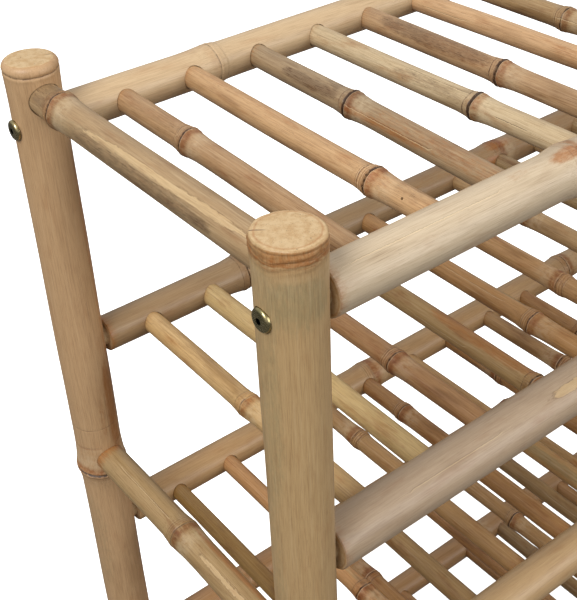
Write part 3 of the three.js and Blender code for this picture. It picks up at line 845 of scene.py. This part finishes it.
# %% Make the end bars
END_BARS = {
    ("left", 1): culm("ac8f69", 11.9, [Ring(31, 1.0, double=0.7, rough=0.3, dark=1.2)], seed=3.1,
        bow=0.8,
        patches=[mark("pale", 0.75, 165, 3.0, 96, turn=-0.02), mark("green", 1.5, 130, 13, 110, 0.35),
            mark("soot", 1.4, 140, 8, 90, 0.75), mark("soot", 1.5, 178, 3, 7, 1.4),
            mark("soot", 1.45, 212, 3.5, 10, 1.5), mark("soot", 0.4, 18, 14, 14, 0.8),
            mark("stain", 1.1, 30, 12, 8, 0.4)]),
    ("left", 2): culm("a98c61", 12.0, [Ring(121, 1.0, rope=0.35, dark=0.6)], seed=4.9, bow=0.9,
        patches=[mark("stain", 0.8, 8, 40, 11, 0.8), mark("pale", 0.5, 205, 3.2, 60, 0.7),
            mark("stain", -0.6, 180, 4, 60, 0.8)], cracks=[(0.3, 30, 110, 0.1)]),
    ("left", 3): culm("b8935f", 12.0, [Ring(170, 1.0, -1)], seed=6.6, bow=0.8),
    ("right", 1): culm("b99669", 12.0, [Ring(205, 1.0, -1)], seed=8.3, bow=0.9),
    ("right", 2): culm("c09b68", 12.0, [Ring(88, 1.0, rope=0.6)], seed=9.8, bow=0.6),
    ("right", 3): culm("af8c5e", 12.0, [Ring(148, 1.0)], seed=11.9, bow=0.9),
}

def rod_outline(radius, rings, length):
    rows = rows_between(0.5, length - 0.5, rings)
    start, end = [(0, 0), (radius - 0.5, 0)], [(radius - 0.5, length), (0, length)]
    return start + [(radius, row) for row in rows] + end

for (side, number), stem in END_BARS.items():
    x, z = post_at["back", side].x, bar_at[number]
    stem["length"] = 2000 * bar_reach
    place = laid(Vector((x, bar_reach, z)), Vector((x, -bar_reach, z)))
    outline = rod_outline(stem["radius"], stem["rings"], stem["length"])
    make_stem(f"culm_end_bar_{side}_{number}", "end_bar", stem, place, outline, 40,
              [f"end_bar_{side}_{number}"])
print("six end bars,", triangles_made, "triangles so far")

# %% [markdown]
# One slat of the top tier was used before and has a small nail hole near its front end. A dark dot in
# the finish would look painted on, so it is drilled like the other holes, a few millimetres deep.

# %% Make the slats
NAIL_RADIUS = 0.0009      # metres

def nail_holes(stem, place):
    holes = []
    for angle, height in stem.get("nails", []):
        reach = stem["radius"] + 1
        out = Vector((reach * math.cos(angle), reach * math.sin(angle), height)) / 1000
        deep = Vector((out.x * 0.4, out.y * 0.4, out.z))
        holes.append([(place @ deep, place @ out, NAIL_RADIUS)])
    return holes

for tier in TIERS:
    for index in range(SLATS):
        stem, place = slat_stems[tier, index], laid(*slat_line(tier, index))
        node = f"slat_{tier}_{index + 1:02d}" if tier > 3 else f"rail_back_with_slats_{tier}"
        make_stem(f"culm_slat_{tier}_{index + 1:02d}", "slat", stem, place,
                  rod_outline(stem["radius"], stem["rings"], stem["length"]), 32, [node],
                  nail_holes(stem, place))
print("sixty slats,", triangles_made, "triangles so far")

# %% [markdown]
# ## Bolts
# A bolt's head is a low dome with a hex socket, plated with yellow zinc, a thin coat whose colour
# slides from olive to straw. The head is an outline turned like a stem, with a bevel's worth of small
# steps at its edge, and the socket is drilled with a drill of six sides. The socket's walls get a
# near-black copy of the plating, as painted shade in the hole.

# %% Draw the plating
def yellow_zinc(name, straw, olive):
    r = Recipe(name)
    place = r.put("TexCoord", {}).outputs["Object"]
    slide = r.noise(place, (120, 120, 120), 2, 0.5)
    grit = r.noise(place, (2500, 2500, 2500), 3, 0.6)
    r.colour = ink(straw)
    r.lay(r.step(slide, 0.35, 0.65), olive)
    r.lay(r.both(r.step(grit, 0.55, 0.75), 0.4), "4a4630")
    r.fill(r.skin.inputs["Base Color"], r.colour)
    r.fill(r.skin.inputs["Roughness"], r.calc("MULTIPLY_ADD", grit, 0.18, 0.17))
    r.skin.inputs["Metallic"].default_value = 1.0
    r.bump(grit, 0.15, 0.0001)
    return r.material

ZINC = yellow_zinc("yellow zinc", "c2b284", "9a9168")
SOCKET_SHADE = yellow_zinc("socket painted shade", "2c2a20", "1c1b16")      # painted shade: the walls of the hex socket get a near-black copy of the plating

# %% Make the bolts
HEX_ACROSS, HEX_DEEP = 4.0, 1.9        # millimetres
DOME_FROM, DOME_WIDE, DOME_HIGH = 1.2, 2.6, 1.9

def make_bolt(level, face, side):
    tip, head = bolt_ends(level, face, side)
    middle_at = middle(f"bolt_{level}_{face}_{side}")
    whole = abs(head - tip) * 1000
    seat, rim, shank = whole - HEAD_THICK * 1000, HEAD_RADIUS * 1000, SHANK_RADIUS * 1000
    outline = [(0, 0), (shank - 1, 0), (shank, 1), (shank, seat), (rim - 0.25, seat),
               (rim, seat + 0.25), (rim, seat + DOME_FROM)]
    for step in range(1, 9):
        turn = step * math.pi / 16
        outline.append((rim - DOME_WIDE * (1 - math.cos(turn)),
                        seat + DOME_FROM + DOME_HIGH * math.sin(turn)))
    outline += [(3.4, whole - 0.04), (2.5, whole), (0, whole)]
    bm = spin_outline(outline, 48)
    place = laid(Vector((tip, middle_at.y, middle_at.z)), Vector((head, middle_at.y, middle_at.z)))
    bmesh.ops.transform(bm, matrix=place, verts=bm.verts)
    mesh = as_mesh(bm, f"bolt_{level}_{face}_{side}_steel")
    mesh.materials.append(ZINC)
    mesh.materials.append(SOCKET_SHADE)
    bolt = bring_in(mesh.name, mesh)
    out = SIDES[side] * 0.001
    floor_of_hex = Vector((head - out * HEX_DEEP, middle_at.y, middle_at.z))
    above_head = Vector((head + out * 5, middle_at.y, middle_at.z))
    drill(bolt, [(floor_of_hex, above_head, HEX_ACROSS / math.sqrt(3) / 1000)], sides=6)
    bolt.data.shade_smooth()
    bolt.data.set_sharp_from_angle(angle=math.radians(32))
    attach(bolt, "root")
    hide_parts(f"bolt_{level}_{face}_{side}")

for place_of_bolt in BOLTS:
    make_bolt(*place_of_bolt)
print("bolts:", len(BOLTS))

# %% [markdown]
# ## The floor and the light
# The rack is shown as on a sheet of white paper under a bright, overcast sky: almost no shadow, the
# tops of the stems brightest and their undersides about half as bright. A pale floor glows a little
# so that it stays white, and is kept out of the bounced light, because a white floor would light the
# undersides as strongly as the sky lights the tops. The sky is white above and dim below, and two
# large soft lamps, one from the upper left and one from the front, give the stems their shape.

# %% Lay the floor
bm = bmesh.new()
bmesh.ops.create_grid(bm, x_segments=1, y_segments=1, size=30, matrix=Matrix.Translation((0, 0, -0.0005)))
floor_mesh = as_mesh(bm, "floor")
paper = Recipe("pale floor")
paper.fill(paper.skin.inputs["Base Color"], ink("f4f4f2"))
paper.skin.inputs["Roughness"].default_value = 0.9
paper.skin.inputs["Emission Color"].default_value = (1, 1, 1, 1)
paper.skin.inputs["Emission Strength"].default_value = 0.9
floor_mesh.materials.append(paper.material)
floor = bring_in("floor", floor_mesh)
floor.visible_diffuse = floor.visible_glossy = False

# %% Set the sky and the lamps
world = bpy.data.worlds.new("overcast")
bpy.context.scene.world = world
world.use_nodes = True
nodes, links = world.node_tree.nodes, world.node_tree.links
nodes.clear()
where = nodes.new("ShaderNodeTexCoord")
split = nodes.new("ShaderNodeSeparateXYZ")
links.new(where.outputs["Generated"], split.inputs[0])
band = nodes.new("ShaderNodeMapRange")
band.interpolation_type = "SMOOTHSTEP"
for key, value in (("From Min", -0.25), ("From Max", 0.4), ("To Min", 0.12), ("To Max", 0.64)):
    band.inputs[key].default_value = value
links.new(split.outputs[2], band.inputs["Value"])
sky = nodes.new("ShaderNodeBackground")
sky.inputs["Color"].default_value = (1, 1, 1, 1)
links.new(band.outputs[0], sky.inputs["Strength"])
out = nodes.new("ShaderNodeOutputWorld")
links.new(sky.outputs[0], out.inputs["Surface"])

def soft_lamp(name, place, aim, size, watts, colour=(1, 1, 1)):
    lamp = bpy.data.lights.new(name, "AREA")
    lamp.shape, lamp.size, lamp.energy, lamp.color = "DISK", size, watts, colour
    shown = bring_in(name, lamp)
    shown.location = place
    shown.rotation_mode = "QUATERNION"
    shown.rotation_quaternion = (Vector(aim) - Vector(place)).to_track_quat("-Z", "Y")

soft_lamp("window", (-2.2, -0.6, 3.0), (0, 0, 0.5), 1.6, 70)
soft_lamp("room", (1.2, -2.6, 1.6), (0, 0, 0.6), 2.0, 30)
bpy.context.scene.view_settings.view_transform = "Standard"
print("lamps and sky set")

# %% [markdown]
# ## The camera
# The rack is seen from close by, over its front left corner, so that the corner fills the frame and
# the far end runs out of it. The camera's place is written from the top of the front left post's
# joint with the rail, because that joint is where the eye lands first. A slight roll and a small
# shift keep the posts leaning the way they do to the eye.

# %% Place the camera
corner = Vector((post_at["front", "left"].x, post_at["front", "left"].y, tier_at[5]))
turn, rise, roll = math.radians(-36.22), math.radians(33.74), math.radians(2.78)
toward_eye = Vector((math.sin(turn) * math.cos(rise), -math.cos(turn) * math.cos(rise), math.sin(rise)))
level = (-toward_eye).cross(Vector((0, 0, 1))).normalized()
drop = (-toward_eye).cross(level)
side_axis = math.cos(roll) * level + math.sin(roll) * drop
down_axis = -math.sin(roll) * level + math.cos(roll) * drop
lens = bpy.data.cameras.new("eye")
lens.lens, lens.sensor_width, lens.shift_x, lens.shift_y = 65.79, 36, -0.0025, -0.07
lens.clip_start, lens.clip_end = 0.02, 60
eye = bring_in("eye", lens)
pose = Matrix((side_axis, -down_axis, toward_eye)).transposed().to_4x4()
eye.matrix_world = Matrix.Translation(corner + Vector((-0.2770, -0.3789, 0.3436))) @ pose
bpy.context.scene.camera = eye
print("camera is", round((eye.location - corner).length, 3), "m from the corner")
